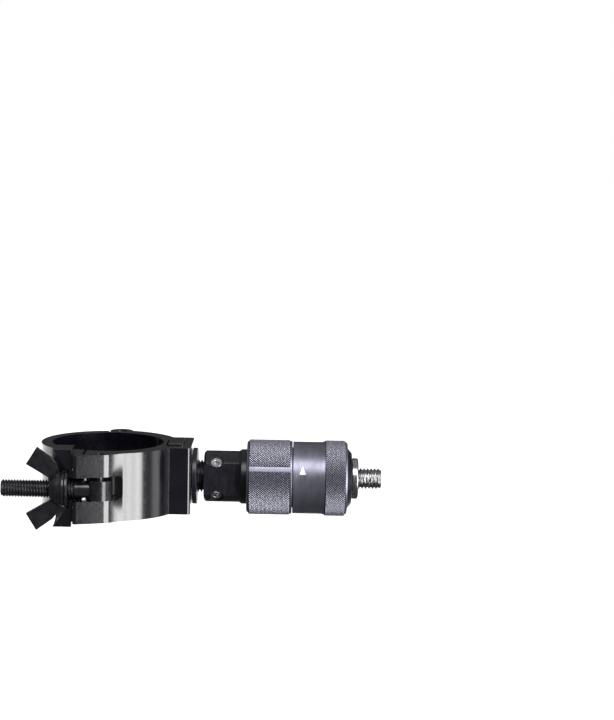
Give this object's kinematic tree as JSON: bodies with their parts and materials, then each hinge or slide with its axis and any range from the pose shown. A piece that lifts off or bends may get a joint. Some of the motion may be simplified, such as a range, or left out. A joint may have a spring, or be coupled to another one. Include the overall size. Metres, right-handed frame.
{
  "type": "tube clamp with quick-release receiver",
  "caption": "Hinged tube clamp closed by a swinging eye bolt and wing nut, carrying a knurled quick-release receiver with a threaded stud tip.",
  "frame": {"origin": "centre of the clamped tube, halfway up the jaws", "axes": "+Z along the clamped tube, +X from the tube's axis to the stud tip, -Y towards the eye bolt and wing nut"},
  "size_m": [0.1668, 0.0779, 0.0364],
  "materials": {
    "jaw_black": "gloss black coat on extruded aluminium",
    "bolt_black": "satin black zinc on steel",
    "body_black": "satin black anodised",
    "sleeve_grey": "blue-grey anodised, diamond knurled",
    "bright_steel": "bright machined",
    "spring_steel": "drawn wire",
    "seal_rubber": "matte"
  },
  "bodies": {
    "clamp_base": {"base_jaw": "jaw_black", "hinge_pin": "bolt_black", "bolt_pivot_pin": "bolt_black", "tee_stud": "bolt_black", "adapter_flange": "body_black", "adapter_spigot": "body_black", "receiver_body": "body_black", "set_screw_upper": "bright_steel", "set_screw_lower": "bright_steel", "inner_barrel": "bright_steel", "lock_ball_1": "bright_steel", "lock_ball_2": "bright_steel", "lock_ball_3": "bright_steel", "lock_ball_4": "bright_steel", "release_spring": "spring_steel", "nose_cap": "body_black"},
    "cap": {"cap_jaw": "jaw_black"},
    "swing_bolt": {"eye_bolt": "bolt_black"},
    "washer": {"clamp_washer": "bolt_black"},
    "nut": {"wing_nut": "bolt_black"},
    "sleeve": {"release_sleeve": "sleeve_grey", "retaining_ring": "spring_steel"},
    "ring": {"lock_ring": "sleeve_grey"},
    "tip": {"tip_plug": "bright_steel", "tip_seal": "seal_rubber", "tip_stud": "bright_steel"}
  },
  "joints": [
    {"name": "bolt_swing", "type": "hinge", "parent": "clamp_base", "child": "swing_bolt", "pos_m": [-0.0003, -0.0335, 0], "axis": [0, 0, 1], "range_deg": [0, 120]},
    {"name": "nut_travel", "type": "slide", "parent": "swing_bolt", "child": "washer", "axis": [-1, 0, 0], "range_m": [0, 0.016]},
    {"name": "nut_spin", "type": "hinge", "parent": "washer", "child": "nut", "pos_m": [-0.01525, -0.0335, -0.0006], "axis": [-1, 0, 0], "range_deg": [0, 4610]},
    {"name": "cap_hinge", "type": "hinge", "parent": "clamp_base", "child": "cap", "pos_m": [0.003, 0.03095, 0], "axis": [0, 0, -1], "range_deg": [0, 10]},
    {"name": "sleeve_slide", "type": "slide", "parent": "clamp_base", "child": "sleeve", "axis": [-1, 0, 0], "range_m": [0, 0.004], "stiffness_N_per_m": 800, "springref_m": -0.004, "deforming": ["release_spring"]},
    {"name": "lock_ring_turn", "type": "hinge", "parent": "sleeve", "child": "ring", "pos_m": [0.073, 0, 0], "axis": [1, 0, 0], "range_deg": [0, 30]},
    {"name": "tip_release", "type": "slide", "parent": "clamp_base", "child": "tip", "axis": [1, 0, 0], "range_m": [0, 0.026]}
  ],
  "couplings": [
    {"joint": "nut_spin", "follows": "nut_travel", "rad_per_m": 5026.5},
    {"joint": "cap_hinge", "follows": "nut_travel", "rad_per_m": 10.9}
  ]
}
